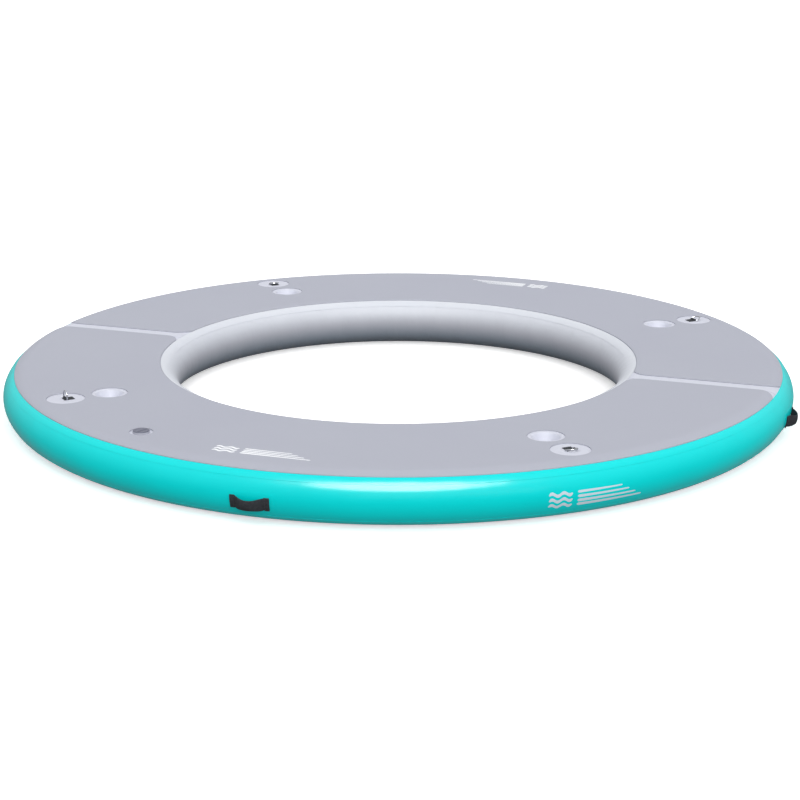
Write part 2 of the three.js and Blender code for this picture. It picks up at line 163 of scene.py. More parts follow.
def soften(obj, width, segments=2):
    return modify(obj, "BEVEL", width=width, segments=segments, limit_method="ANGLE",
                  angle_limit=radians(60), harden_normals=False)


def smooth(obj, angle=35):
    only(obj)
    bpy.ops.object.shade_smooth_by_angle(angle=radians(angle))
    return obj


def joined(name, *objs):
    only(objs[0])
    for obj in objs:
        obj.select_set(True)
    bpy.ops.object.join()
    return done(name)


def copied(obj, name, matrix=None):
    made = obj.copy()
    made.data = obj.data.copy()
    made.name = made.data.name = name
    bpy.context.scene.collection.objects.link(made)
    if matrix is not None:
        made.data.transform(matrix)
        made.data.update()
    return made


def removed(*objs):
    for obj in objs:
        bpy.data.objects.remove(obj)


def cut(obj, cutter):
    modify(obj, "BOOLEAN", object=cutter, operation="DIFFERENCE", solver="EXACT")


# keeps each point's place before the piece is put on the ring, for patterns that follow it
def keepPlace(obj):
    place = obj.data.attributes.new("place", "FLOAT_VECTOR", "POINT")
    for v, item in zip(obj.data.vertices, place.data):
        item.vector = v.co
    return obj


# from a piece's own frame, looking outwards along +X, to its place on the ring
def onRing(azimuth, radius, height):
    return Matrix.Rotation(azimuth, 4, "Z") @ Matrix.Translation((radius, 0, height))


def seatOf(node, height):
    place = middleOf(node)
    return onRing(azimuthOf(place), radiusOf(place), height)


# one upright arc of the section, between two angles round a centre
def arc(centre, distance, start, end, step):
    deselect()
    bpy.ops.mesh.primitive_circle_add(vertices=360 // step, radius=distance,
                                      location=(centre, 0, middle), rotation=(pi / 2, 0, 0))
    obj = settle(bpy.context.object)
    edit(obj)
    margin = 0.25  # degrees, so that the end points themselves are kept
    lowest, highest = start - margin, end + margin

    def outside(co):
        angle = degrees(atan2(co.z - middle, co.x - centre))
        return not (lowest <= angle <= highest or lowest <= angle + 360 <= highest)

    pickVerts(obj, outside)
    bpy.ops.mesh.delete(type="VERT")
    return done()


# a section of an outer arc, a flat over the deck and an inner arc
def deckSection(distance, outerAngle, innerAngle, step):
    outer = arc(outerCentre, distance, outerAngle, 90, step)
    inner = arc(innerCentre, distance, 90, 180 - innerAngle, step)
    obj = joined("section", outer, inner)
    edit(obj)
    top = middle + distance
    ends = (outerCentre, innerCentre)
    pickVerts(obj, lambda co: hypot(co.z - top, min(abs(co.x - x) for x in ends)) < 1e-5)
    bpy.ops.mesh.edge_face_add()
    bpy.ops.mesh.subdivide(number_cuts=7)
    return done()


def spun(obj, turn=360, steps=240):
    edit(obj, whole=True)
    bpy.ops.mesh.spin(steps=steps, angle=radians(turn), center=(0, 0, 0), axis=(0, 0, 1))
    return done()


# away from the middle of the round edge that a point is nearest to
def fromEdge(co):
    radius = radiusOf(co)
    centre = min(max(radius, innerCentre), outerCentre)
    reach = Vector((co.x, co.y, 0)) * ((radius - centre) / radius)
    return reach + Vector((0, 0, co.z - middle))


# keeps the side of a ring that lies beyond a gap along the X axis
def halved(obj, gap, fill=False):
    edit(obj, whole=True)
    bpy.ops.mesh.bisect(plane_co=(0, gap / 2, 0), plane_no=(0, 1, 0), clear_inner=True,
                        use_fill=fill)
    return done()


def ringBand(name, centre, distance, start, end, thickness, step=4):
    obj = spun(arc(centre, distance, start, end, step))
    faceOut(obj, fromEdge)
    thicken(obj, thickness)
    smooth(obj)
    obj.name = obj.data.name = name
    return obj


# rings of points joined one above the other round the Z axis, as (radius, height)
def turned(name, profile, steps, closed=True):
    deselect()
    radius, height = profile[0]
    start = max(radius, 1e-6)
    bpy.ops.mesh.primitive_circle_add(vertices=steps, radius=start, location=(0, 0, height))
    obj = settle(bpy.context.object)
    edit(obj, whole=True)
    points = list(profile[1:]) + ([profile[0]] if closed else [])
    for nextRadius, nextHeight in points:
        nextRadius = max(nextRadius, 1e-6)
        bpy.ops.mesh.extrude_edges_move(
            TRANSFORM_OT_translate={"value": (0, 0, nextHeight - height)})
        share = nextRadius / start
        bpy.ops.transform.resize(value=(share, share, 1), center_override=(0, 0, nextHeight))
        start, height = nextRadius, nextHeight
    bpy.ops.mesh.select_all(action="SELECT")
    bpy.ops.mesh.remove_doubles(threshold=5e-6)
    bpy.ops.mesh.normals_make_consistent(inside=False)
    return done(name)


class Wire:
    def __init__(self, surface, socket):
        self.surface, self.socket = surface, socket

    def maths(self, operation, *others):
        return self.surface.node("Math", {"operation": operation}, dict(enumerate(others)))

    def __add__(self, other): return self.maths("ADD", self, other)
    def __radd__(self, other): return self.maths("ADD", other, self)
    def __sub__(self, other): return self.maths("SUBTRACT", self, other)
    def __rsub__(self, other): return self.maths("SUBTRACT", other, self)
    def __mul__(self, other): return self.maths("MULTIPLY", self, other)
    def __rmul__(self, other): return self.maths("MULTIPLY", other, self)
    def __truediv__(self, other): return self.maths("DIVIDE", self, other)
    def __pow__(self, other): return self.maths("POWER", self, other)
    def __abs__(self): return self.maths("ABSOLUTE", self)
    def wave(self): return self.maths("SINE", self)


class Surface:
    def __init__(self, name):
        self.material = bpy.data.materials.new(name)
        self.material.use_nodes = True
        self.tree = self.material.node_tree
        self.tree.nodes.clear()

    def node(self, kind, settings=None, sockets=None, out=0):
        made = self.tree.nodes.new("ShaderNode" + kind)
        for key, value in (settings or {}).items():
            if key == "stops":
                ramp = made.color_ramp.elements
                while len(ramp) < len(value):
                    ramp.new(0.5)
                for element, (place, colour) in zip(ramp, value):
                    element.position, element.color = place, colour
            else:
                setattr(made, key, value)
        for key, value in (sockets or {}).items():
            if isinstance(value, Wire):
                self.tree.links.new(value.socket, made.inputs[key])
            else:
                made.inputs[key].default_value = value
        return Wire(self, made.outputs[out])

    def place(self, attribute=None):
        if attribute:
            return self.node("Attribute", {"attribute_name": attribute}, out="Vector")
        return self.node("TexCoord", out="Object")

    def parts(self, vector):
        split = self.node("SeparateXYZ", sockets={"Vector": vector})
        return [Wire(self, socket) for socket in split.socket.node.outputs]

    def noise(self, vector, scale, detail=3.0, rough=0.5):
        sockets = {"Vector": vector, "Scale": scale, "Detail": detail, "Roughness": rough}
        return self.node("TexNoise", sockets=sockets)

    def stretched(self, vector, scale):
        return self.node("Mapping", sockets={"Vector": vector, "Scale": scale})

    def blend(self, share, first, second, how="MIX"):
        settings = {"data_type": "RGBA", "blend_type": how}
        return self.node("Mix", settings, {0: share, 6: first, 7: second}, out=2)

    def bump(self, height, strength, distance, normal=None):
        sockets = {"Height": height, "Strength": strength, "Distance": distance}
        if normal:
            sockets["Normal"] = normal
        return self.node("Bump", sockets=sockets)

    def finish(self, **sockets):
        named = {key.replace("_", " "): value for key, value in sockets.items()}
        shader = self.node("BsdfPrincipled", sockets=named)
        output = self.tree.nodes.new("ShaderNodeOutputMaterial")
        self.tree.links.new(shader.socket, output.inputs["Surface"])
        return self.material


def colour(red, green, blue):
    def linear(value):
        value /= 255
        return value / 12.92 if value <= 0.04045 else ((value + 0.055) / 1.055) ** 2.4
    return (linear(red), linear(green), linear(blue), 1.0)


def darker(shade, share):
    return (shade[0] * share, shade[1] * share, shade[2] * share, 1.0)


foam = {"shade": colour(172, 174, 187), "far": colour(177, 180, 191), "nap": colour(214, 216, 226),
        "roughness": 0.86, "grain": 1400.0, "grainDepth": 0.0004}


def deckFoam():
    s = Surface("deckFoam")
    place = s.place()
    cloud = s.noise(place, 1.6, 3.0)
    grain = s.noise(place, foam["grain"], 2.0)
    brushed = s.noise(s.stretched(place, (1, 0.12, 1)), 520.0, 2.0)
    base = s.blend(cloud, foam["shade"], foam["far"])
    base = s.blend(grain * 0.16, base, darker(foam["shade"], 0.72))
    base = s.blend(brushed * 0.10, base, foam["nap"])
    height = grain * 0.6 + brushed * 0.4
    return s.finish(Base_Color=base, Roughness=foam["roughness"] - 0.1 * cloud + 0.06,
                    Specular_IOR_Level=0.12, Normal=s.bump(height, 0.35, foam["grainDepth"]))


def coatedFabric(name, shade, deep, roughness, gloss, printThrough):
    s = Surface(name)
    place = s.place()
    cloud = s.noise(place, 2.2, 4.0)
    fine = s.noise(place, 60.0, 3.0)
    cell = s.noise(place, 900.0, 1.0)
    base = s.blend(cloud * 0.6 + fine * 0.06, shade, deep)
    swell = s.bump(s.noise(place, 3.2, 2.0), 0.35, 0.02)
    normal = s.bump(cell, printThrough, 0.00025, swell)
    return s.finish(Base_Color=base, Roughness=roughness + 0.03 * fine + 0.06 * cloud,
                    Specular_IOR_Level=gloss, Normal=normal)


# stops of a painted shade by height on the inner wall and its tapes, darkest at the foot
inner = {"height": 0.203, "cloud": (0.90, 0.92, 0.94, 1),
         "stops": ((0, colour(96, 103, 112)), (0.25, colour(140, 149, 161)),
                   (0.54, colour(180, 182, 191)), (0.76, colour(205, 208, 216)),
                   (0.91, colour(216, 219, 227)), (1, colour(220, 223, 230)))}


# painted shade: paler towards the deck and darker low down inside the ring, where shade gathers
def innerFabric():
    s = Surface("innerPvc")
    place = s.place()
    cloud = s.noise(place, 2.5, 3.0)
    pucker = s.noise(s.stretched(place, (7, 7, 1.5)), 1.6, 3.0, 0.6)
    height = s.parts(place)[2] / inner["height"] + 0.06 * (pucker - 0.5)
    paintedShade = s.node("ValToRGB", {"stops": inner["stops"]}, {"Fac": height})
    base = s.blend(cloud * 0.5, paintedShade, s.blend(1.0, paintedShade, inner["cloud"], "MULTIPLY"))
    normal = s.bump(s.noise(place, 900.0, 1.0), 0.1, 0.00025, s.bump(pucker, 0.5, 0.012))
    return s.finish(Base_Color=base, Roughness=0.5 + 0.08 * cloud,
                    Specular_IOR_Level=0.15, Normal=normal)


strapWeave = {"shade": colour(22, 24, 28), "light": colour(70, 74, 80), "pitch": 0.0016}


def webbing():
    s = Surface("webbing")
    place = s.place("place")
    x, y = s.parts(place)[:2]
    turns = 2 * pi / strapWeave["pitch"]
    along = (x * turns * 0.55).wave()
    across = (y * turns).wave()
    weave = abs(along * across) + abs(across) * 0.5
    fuzz = s.noise(place, 700.0, 2.0)
    # lighter mottled patches over the whole strap: a painted highlight of its fuzzy sheen
    wearAndSheen = s.noise(place, 95.0, 3.0, 0.6) ** 2
    share = weave * 0.3 + fuzz * 0.1 + wearAndSheen * 1.1
    base = s.blend(share, strapWeave["shade"], strapWeave["light"])
    return s.finish(Base_Color=base, Roughness=0.78 - 0.12 * fuzz,
                    Specular_IOR_Level=0.12, Normal=s.bump(weave, 0.6, 0.0005))


def steel():
    s = Surface("polishedSteel")
    place = s.place("place")
    scuff = s.noise(s.stretched(place, (1, 1, 6)), 900.0, 3.0)
    film = s.noise(place, 120.0, 2.0)
    base = s.blend(film * 0.4, colour(190, 192, 197), colour(160, 163, 169))
    return s.finish(Base_Color=base, Metallic=1.0, Roughness=0.10 + 0.10 * scuff,
                    Normal=s.bump(scuff, 0.08, 0.0001))


def moulded(name, shade, light, roughness=0.42, grain=1800.0):
    s = Surface(name)
    place = s.place()
    pits = s.noise(place, grain, 2.0)
    haze = s.noise(place, 90.0, 3.0)
    base = s.blend(haze * 0.5, shade, light)
    return s.finish(Base_Color=base, Roughness=roughness + 0.12 * haze, Specular_IOR_Level=0.2,
                    Normal=s.bump(pits, 0.25, 0.0002))


def yarn():
    s = Surface("yarn")
    strand = s.noise(s.stretched(s.place(), (1, 1, 0.02)), 700.0, 1.0)
    base = s.blend(strand, colour(225, 225, 220), colour(246, 246, 242))
    return s.finish(Base_Color=base, Roughness=0.85, Normal=s.bump(strand, 0.6, 0.0005))


def printInk(name, shade, wearAndSheen):
    s = Surface(name)
    place = s.place()
    wear = s.noise(place, 320.0, 4.0)
    base = s.blend(wear * 0.35, shade, wearAndSheen)
    return s.finish(Base_Color=base, Roughness=0.5 + 0.15 * wear, Specular_IOR_Level=0.2,
                    Normal=s.bump(wear, 0.1, 0.0001))


foamLook = deckFoam()
tealLook = coatedFabric("tealPvc", colour(0, 231, 230), colour(0, 219, 222), 0.17, 0.2, 0.015)
greyLook = coatedFabric("greyPvc", colour(210, 212, 224), colour(203, 206, 218), 0.5, 0.15, 0.04)
innerLook = innerFabric()
webbingLook = webbing()
steelLook = steel()
valveLook = moulded("valvePlastic", colour(172, 174, 186), colour(184, 186, 197))
capLook = moulded("capPlastic", colour(112, 114, 129), colour(126, 128, 142))
tetherLook = moulded("tetherRubber", colour(150, 152, 166), colour(162, 164, 177), 0.55)
rubberLook = moulded("sealRubber", colour(44, 45, 50), colour(60, 61, 66), 0.6)
yarnLook = yarn()
deckInkLook = printInk("deckInk", colour(250, 252, 255), colour(236, 240, 246))
wallInkLook = printInk("wallInk", colour(222, 234, 244), colour(205, 220, 234))
threadLook = moulded("thread", colour(88, 90, 97), colour(112, 114, 120), 0.7, 4000.0)
print("materials made")


# gives a piece its look and body, and hides the frame's nodes that it stands for
def piece(obj, body, slot, look, *nodes):
    obj.data.materials.clear()
    obj.data.materials.append(look)
    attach(obj, body)
    if nodes:
        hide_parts(*nodes)


def fixed(obj, slot, look, *nodes):
    piece(obj, "platform", slot, look, *nodes)


# angles round the edges of the section, in degrees from the level through its middle
chamber = {"skin": 0.0012, "tape": 0.0009, "gap": 0.0003, "outerJoint": 52, "innerJoint": 64,
           "outerTape": (42, 60), "innerTape": (52, 76), "jointTape": 0.060, "jointSweep": 8,
           "recessHole": 0.062, "valveHole": 0.0245}
deckEnds = (60, 77)  # where the foam and the joint tapes end, in the same angles
tapeFace = edgeRadius + chamber["gap"] + chamber["tape"]


def wall(name, centre, start, end, *kind):
    fixed(ringBand(name, centre, edgeRadius, start, end, chamber["skin"]), *kind)


def seamTape(name, centre, start, end, step, *kind):
    fixed(ringBand(name, centre, tapeFace, start, end, chamber["tape"], step), *kind)


joint = chamber["outerJoint"]
wall("outerWall", outerCentre, -joint, joint, "teal_pvc", tealLook, "outer_wall")
joint = chamber["innerJoint"]
wall("innerWall", innerCentre, 180 - joint, 180 + joint, "grey_pvc", innerLook, "inner_wall")
low, high = chamber["outerTape"]
seamTape("outerTopTape", outerCentre, low, high, 1, "teal_pvc", tealLook, "outer_top_seam_tape")
seamTape("outerBottomTape", outerCentre, -high, -low, 1,
         "teal_pvc", tealLook, "outer_bottom_seam_tape")
low, high = chamber["innerTape"]
seamTape("innerTopTape", innerCentre, 180 - high, 180 - low, 2,
         "grey_pvc", innerLook, "inner_top_seam_tape")
seamTape("innerBottomTape", innerCentre, 180 + low, 180 + high, 2,
         "grey_pvc", innerLook, "inner_bottom_seam_tape")
print("walls and ring tapes made")

flippedOver = Matrix.Translation((0, 0, deckBase)) @ Matrix.Scale(-1, 4, (0, 0, 1))
drill = 0.02  # how far a cutter reaches over and under the deck


def halfSkin():
    obj = spun(deckSection(edgeRadius, chamber["outerJoint"], chamber["innerJoint"], 4))
    faceOut(obj, fromEdge)
    halved(obj, chamber["gap"])
    return thicken(obj, chamber["skin"])


# upright cylinders through the deck, joined to one cutter
def posts(places, steps=64):
    made = []
    for place, radius in places:
        deselect()
        bpy.ops.mesh.primitive_cylinder_add(vertices=steps, radius=radius, depth=2 * drill,
                                            location=(place.x, place.y, deckBase))
        made.append(settle(bpy.context.object))
    return joined("cutter", *made)


valvePlace = middleOf("valve_cap")
skin = halfSkin()
halfTurn = Matrix.Rotation(pi, 4, "Z")
for side, turn in (("back", None), ("front", halfTurn)):
    under = copied(skin, f"bottomSkin_{side}", flippedOver @ (turn or Matrix.Identity(4)))
    flipFaces(under)
    smooth(under)
    fixed(under, "grey_pvc", greyLook, f"bottom_skin_{side}")
    top = copied(skin, f"topSkin_{side}", turn)
    holes = [(middleOf(f"drink_recess_{name}"), chamber["recessHole"])
             for name in fittings if side in name]
    if side == "front":
        holes.append((valvePlace, chamber["valveHole"]))
    cutter = posts(holes)
    cut(top, cutter)
    removed(cutter)
    smooth(top)
    fixed(top, "grey_pvc", greyLook, f"top_skin_{side}")
removed(skin)
print("skins made")

# a short sweep of the section over the X axis, cut down to the tape's width
strip = deckSection(tapeFace, *deckEnds, 1)
edit(strip, whole=True)
bpy.ops.transform.rotate(value=radians(-chamber["jointSweep"] / 2), orient_axis="Z",
                         center_override=(0, 0, 0))
done()
strip = spun(strip, chamber["jointSweep"], 16)
faceOut(strip, fromEdge)
angles = [azimuthOf(v.co) for v in strip.data.vertices]
strip.data.transform(Matrix.Rotation(-(min(angles) + max(angles)) / 2, 4, "Z"))
halfTape = chamber["jointTape"] / 2
edit(strip, whole=True)
bpy.ops.mesh.bisect(plane_co=(0, -halfTape, 0), plane_no=(0, 1, 0), clear_inner=True)
bpy.ops.mesh.select_all(action="SELECT")
bpy.ops.mesh.bisect(plane_co=(0, halfTape, 0), plane_no=(0, 1, 0), clear_outer=True)
done()
thicken(strip, chamber["tape"])
smooth(strip)
for side, turn in (("right", None), ("left", halfTurn)):
    made = copied(strip, f"deckJointTape_{side}", turn)
    fixed(made, "grey_pvc", greyLook, f"top_joint_tape_{side}")
removed(strip)
print("deck joint tapes made")

pads = {"gap": 0.066, "corner": 0.070, "cornerMargin": 0.012, "cutterHeight": 0.08, "rim": 0.0030,
        "rimAngle": 50, "patchHole": 0.077, "recessHole": 0.072, "valveHole": 0.046}


# what rounds off a corner of the foam: a block less a cylinder
def cornerCutter(radius, outer, mirrored):
    reach = pads["corner"]
    y = pads["gap"] / 2 + reach
    inset = radius - reach if outer else radius + reach
    x = sqrt(inset ** 2 - y ** 2)
    side = 1 if outer else -1
    size = reach + pads["cornerMargin"]
    height = pads["cutterHeight"]
    deselect()
    bpy.ops.mesh.primitive_cube_add(size=1, location=(x + side * size / 2, y - size / 2,
                                                      deckBase - height / 8))
    block = bpy.context.object
    block.scale = (size, size, height)
    settle(block)
    deselect()
    bpy.ops.mesh.primitive_cylinder_add(vertices=64, radius=reach, depth=2.5 * height,
                                        location=(x, y, deckBase))
    cylinder = settle(bpy.context.object)
    cut(block, cylinder)
    removed(cylinder)
    if mirrored:
        block.data.transform(Matrix.Scale(-1, 4, (1, 0, 0)))
        flipFaces(block)
    return block


padFace = deckTop - middle
foamThickness = deckTop - deckBase - chamber["gap"]
outerEnd, innerEnd = deckEnds
outerReach = outerCentre + padFace * cos(radians(outerEnd))
innerReach = innerCentre - padFace * cos(radians(innerEnd))


# leaves room for the rounding between a rim and the next row of points
def besideRim(co):
    outerAngle = degrees(atan2(co.z - middle, co.x - outerCentre))
    innerAngle = degrees(atan2(co.z - middle, innerCentre - co.x))
    return 0.5 < outerAngle - outerEnd < 3.5 or 0.5 < innerAngle - innerEnd < 2.5


# its upper rims are rounded while the ring is whole, and it is halved after that
def foamHalf():
    section = deckSection(padFace, *deckEnds, 1)
    edit(section)
    pickVerts(section, besideRim)
    bpy.ops.mesh.dissolve_verts()
    done()
    obj = spun(section)
    faceOut(obj, fromEdge)
    thicken(obj, foamThickness)
    mesh = bmesh.new()
    mesh.from_mesh(obj.data)
    weight = mesh.edges.layers.float.new("bevel_weight_edge")
    nearTop = padFace - 0.0006
    for e in mesh.edges:
        upper = all(fromEdge(v.co).length > nearTop for v in e.verts)
        sharp = e.calc_face_angle(0) > radians(pads["rimAngle"])
        e[weight] = 1.0 if upper and sharp else 0.0
    mesh.to_mesh(obj.data)
    mesh.free()
    modify(obj, "BEVEL", width=pads["rim"], segments=4, limit_method="WEIGHT",
           use_clamp_overlap=False)
    return halved(obj, pads["gap"], fill=True)


pad = foamHalf()
corners = joined("corners", *(cornerCutter(radius, outer, mirrored)
                              for radius, outer in ((outerReach, True), (innerReach, False))
                              for mirrored in (False, True)))
cut(pad, corners)
removed(corners)
for side, turn in (("back", None), ("front", halfTurn)):
    made = copied(pad, f"deckFoam_{side}", turn)
    here = [name for name in fittings if side in name]
    holes = [(middleOf(f"tow_patch_{name}"), pads["patchHole"]) for name in here]
    holes += [(middleOf(f"drink_recess_{name}"), pads["recessHole"]) for name in here]
    if side == "front":
        holes.append((valvePlace, pads["valveHole"]))
    cutter = posts(holes, 96)
    cut(made, cutter)
    removed(cutter)
    smooth(made)
    fixed(made, "deck_foam", foamLook, f"deck_pad_{side}")
removed(pad)
print("foam deck made")

bowl = {"mouth": 0.060, "rim": 0.071, "floor": 0.036, "floorRings": (0.012, 0.026), "depth": 0.030,
        "wall": 0.0015, "edge": 0.0008, "steps": 14}
rimTop = chamber["gap"] + bowl["wall"]


def bowlProfile():
    def slope(offset):
        points = []
        for i in range(bowl["steps"] + 1):
            share = i / bowl["steps"]
            rise = share * share * (3 - 2 * share)
            radius = bowl["floor"] + (bowl["mouth"] - bowl["floor"]) * share
            points.append((radius + offset, rimTop - bowl["depth"] * (1 - rise) - offset))
        return points

    low, rim, edge = rimTop - bowl["depth"], bowl["rim"], bowl["edge"]
    above = [(radius, low) for radius in (0, *bowl["floorRings"])] + slope(0)
    above += [(rim - edge, rimTop), (rim, rimTop - 0.75 * edge)]
    below = [(rim, chamber["gap"])] + slope(bowl["wall"])[::-1] + [(0, low - bowl["wall"])]
    return above + below


bowlMade = turned("bowl", bowlProfile(), 72, closed=False)
smooth(bowlMade)
for name in fittings:
    seat = seatOf(f"drink_recess_{name}", deckBase)
    made = copied(bowlMade, f"drinkRecess_{name}", seat)
    fixed(made, "grey_pvc", greyLook, f"drink_recess_{name}")
removed(bowlMade)
print("recesses made")

tow = {"patch": 0.076, "patchThickness": 0.0009, "patchRings": (0.004, 0.03), "patchEdge": 0.0003,
       "wire": 0.00275, "halfWidth": 0.02225, "arm": 0.008, "corner": 0.0042, "clearance": 0.00045,
       "webWidth": 0.037, "webThickness": 0.0018, "webEdge": 0.0004, "fold": 0.0009,
       "foot": 0.0056, "tail": 0.028, "seam": 0.0155, "crossStitch": 0.0031, "longStitch": 0.0036}
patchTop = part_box("tow_patch_back_left")[1].z
hingeHeight = patchTop + tow["clearance"] + tow["wire"]


def towPatch():
    deselect()
    thickness = tow["patchThickness"]
    bpy.ops.mesh.primitive_cylinder_add(vertices=96, radius=tow["patch"], depth=thickness,
                                        location=(0, 0, chamber["gap"] + thickness / 2))
    obj = settle(bpy.context.object)
    edit(obj)
    pickFaces(obj, lambda centre, normal: normal.z > 0.9)
    for inset in tow["patchRings"]:
        bpy.ops.mesh.inset(thickness=inset)
    done("towPatch")
    soften(obj, tow["patchEdge"], 1)
    return smooth(obj)


# the ring lies along +X from its bar, which runs along Y through the origin
def towRing():
    wire, half, arm, corner = tow["wire"], tow["halfWidth"], tow["arm"], tow["corner"]
    deselect()
    bpy.ops.mesh.primitive_circle_add(vertices=20, radius=wire, rotation=(pi / 2, 0, 0))
    obj = settle(bpy.context.object)
    edit(obj, whole=True)

    def along(x, y):
        bpy.ops.mesh.extrude_edges_move(TRANSFORM_OT_translate={"value": (x, y, 0)})

    def around(x, y, turn, steps):
        bpy.ops.mesh.spin(steps=steps, angle=radians(turn), center=(x, y, 0), axis=(0, 0, 1))

    along(0, half - corner)
    around(corner, half - corner, 90, 8)
    along(arm - corner, 0)
    around(arm, 0, 180, 36)
    along(corner - arm, 0)
    around(corner, corner - half, 90, 8)
    along(0, half - corner)
    bpy.ops.mesh.select_all(action="SELECT")
    bpy.ops.mesh.remove_doubles(threshold=1e-5)
    bpy.ops.mesh.normals_make_consistent(inside=False)
    done("towRing")
    return smooth(keepPlace(obj), 60)


# a strip along Y, laid over the bar, with a long tail inwards and a short foot outwards
def towWebbing():
    inside = tow["wire"] + tow["clearance"]
    outside = inside + tow["webThickness"]
    hinge = hingeHeight - deckBase
    top = patchTop - deckBase + chamber["gap"] + tow["webThickness"]
    deselect()
    bpy.ops.mesh.primitive_plane_add(size=1)
    obj = bpy.context.object
    edit(obj)
    pickVerts(obj, lambda co: co.x > 0)
    bpy.ops.mesh.delete(type="VERT")
    bpy.ops.mesh.select_all(action="SELECT")
    bpy.ops.transform.resize(value=(1, tow["webWidth"], 1))
    bpy.ops.mesh.subdivide(number_cuts=11)
    start = -outside - tow["tail"]
    bpy.ops.transform.translate(value=(start + 0.5, 0, top))
    turn = tow["fold"]

    def along(x, z):
        bpy.ops.mesh.extrude_edges_move(TRANSFORM_OT_translate={"value": (x, 0, z)})

    for _ in range(8):
        along((tow["tail"] - turn) / 8, 0)
    along(turn * 0.75, turn * 0.25)
    along(turn * 0.25, turn * 0.75)
    along(0, hinge - top - turn)
    bpy.ops.mesh.spin(steps=14, angle=-pi, center=(0, 0, hinge), axis=(0, 1, 0))
    along(0, -(hinge - top - turn))
    along(turn * 0.25, -turn * 0.75)
    along(turn * 0.75, -turn * 0.25)
    along(tow["foot"] - turn, 0)
    bpy.ops.mesh.select_all(action="SELECT")
    bpy.ops.mesh.remove_doubles(threshold=1e-6)
    bpy.ops.mesh.normals_make_consistent(inside=False)
    done("towWebbing")
    if sum(p.normal.z * p.area for p in obj.data.polygons) < 0:
        flipFaces(obj)
    thicken(obj, tow["webThickness"])
    soften(obj, tow["webEdge"])
    return smooth(keepPlace(obj), 50)


thread = {"width": 0.0008, "length": 0.0024, "height": 0.0006}


def rowOfStitches(name, places):
    deselect()
    bpy.ops.mesh.primitive_uv_sphere_add(segments=8, ring_count=5, radius=0.5)
    one = bpy.context.object
    one.scale = (thread["width"], thread["length"], thread["height"])
    settle(one)
    made = [copied(one, "stitch", Matrix.Translation((x, y, z)) @ Matrix.Rotation(turn, 4, "Z"))
            for x, y, z, turn in places]
    removed(one)
    return smooth(keepPlace(joined(name, *made)), 60)


patchMade, ringMade, webMade = towPatch(), towRing(), towWebbing()
footTop = patchTop - deckBase + chamber["gap"] + tow["webThickness"]
tunnel = tow["wire"] + tow["clearance"] + tow["webThickness"]
seams = []
for x in (-tunnel - 0.0035, -tunnel - tow["tail"] + 0.0025, tunnel + tow["foot"] * 0.55):
    seams += [(x, -tow["seam"] + i * tow["crossStitch"], footTop, 0) for i in range(11)]
for y in (-tow["seam"], tow["seam"]):
    seams += [(-tunnel - 0.006 - i * tow["longStitch"], y, footTop, pi / 2) for i in range(6)]
stitchesMade = rowOfStitches("towStitches", seams)
for name in fittings:
    seat = seatOf(f"tow_patch_{name}", deckBase)
    made = copied(patchMade, f"towPatch_{name}", seat)
    fixed(made, "grey_pvc", greyLook, f"tow_patch_{name}")
    made = copied(webMade, f"towWebbing_{name}", seat)
    fixed(made, "black_webbing", webbingLook, f"tow_webbing_{name}")
    made = copied(stitchesMade, f"towStitches_{name}", seat)
    fixed(made, "black_webbing", threadLook)
    # the ring leans as far as the frame's own ring, whose furthest point gives the angle
    frameRing = [v.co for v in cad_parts[f"tow_ring_{name}"].data.vertices]
    hinge = radiusOf(middleOf(f"tow_patch_{name}"))
    away = max((Vector((radiusOf(co) - hinge, 0, co.z - hingeHeight)) for co in frameRing),
               key=lambda v: v.length)
    seat = seatOf(f"tow_patch_{name}", hingeHeight)
    lean = Matrix.Rotation(-atan2(away.z, away.x), 4, "Y")
    made = copied(ringMade, f"towRing_{name}", seat @ lean)
    piece(made, f"tow_ring_{name}", "stainless_steel", steelLook, f"tow_ring_{name}")
removed(patchMade, ringMade, webMade, stitchesMade)
print("tow fittings made")

handle = {"length": 0.190, "width": 0.074, "corner": 0.018, "patchThickness": 0.0009,
          "span": 0.152, "foot": 0.020, "rise": 0.026, "arch": 0.85, "sag": 0.003, "waist": 0.16,
          "crown": 0.0035, "lean": 0.10, "settled": 0.998, "strapWidth": 0.045,
          "thickness": 0.0030, "strapGap": 0.0005, "strapEdge": 0.0007, "bandWidth": 0.050,
          "bandThickness": 0.0016, "bandEdge": 0.0005, "bandGap": 0.0008}
patchFace = edgeRadius + chamber["gap"] + handle["patchThickness"]
handleHeight = middleOf("handle_strap_left").z


# lays a flat piece (x along the wall, y up, z outwards) round the wall at a height
def wrapped(co, height, face):
    tilt = (height - middle + co.y) / edgeRadius
    around = co.x / outerRadius
    distance = face + co.z
    radius = outerCentre + distance * cos(tilt)
    return Vector((radius * cos(around), radius * sin(around), middle + distance * sin(tilt)))


# a flat grid of a given size, with its middle on the X axis
def sheet(length, width, columns, rows, x=0.0):
    deselect()
    bpy.ops.mesh.primitive_grid_add(x_subdivisions=columns, y_subdivisions=rows, size=1)
    obj = bpy.context.object
    obj.scale = (length, width, 1)
    obj.location.x = x
    return settle(obj)


def handlePatch():
    deselect()
    bpy.ops.mesh.primitive_plane_add(size=1)
    obj = bpy.context.object
    obj.scale = (handle["length"], handle["width"], 1)
    settle(obj)
    edit(obj, whole=True)
    bpy.ops.mesh.bevel(offset=handle["corner"], segments=8, affect="VERTICES")
    for axis, size, parts in ((Vector((0, 1, 0)), handle["width"], 12),
                              (Vector((1, 0, 0)), handle["length"], 16)):
        for i in range(1, parts):
            bpy.ops.mesh.select_all(action="SELECT")
            bpy.ops.mesh.bisect(plane_co=axis * size * (i / parts - 0.5), plane_no=axis)
    done("handlePatch")
    moveVerts(obj, lambda co: wrapped(co, handleHeight, patchFace))
    faceOut(obj, fromEdge)
    thicken(obj, handle["patchThickness"] - 0.0001)
    return smooth(keepPlace(obj), 40)


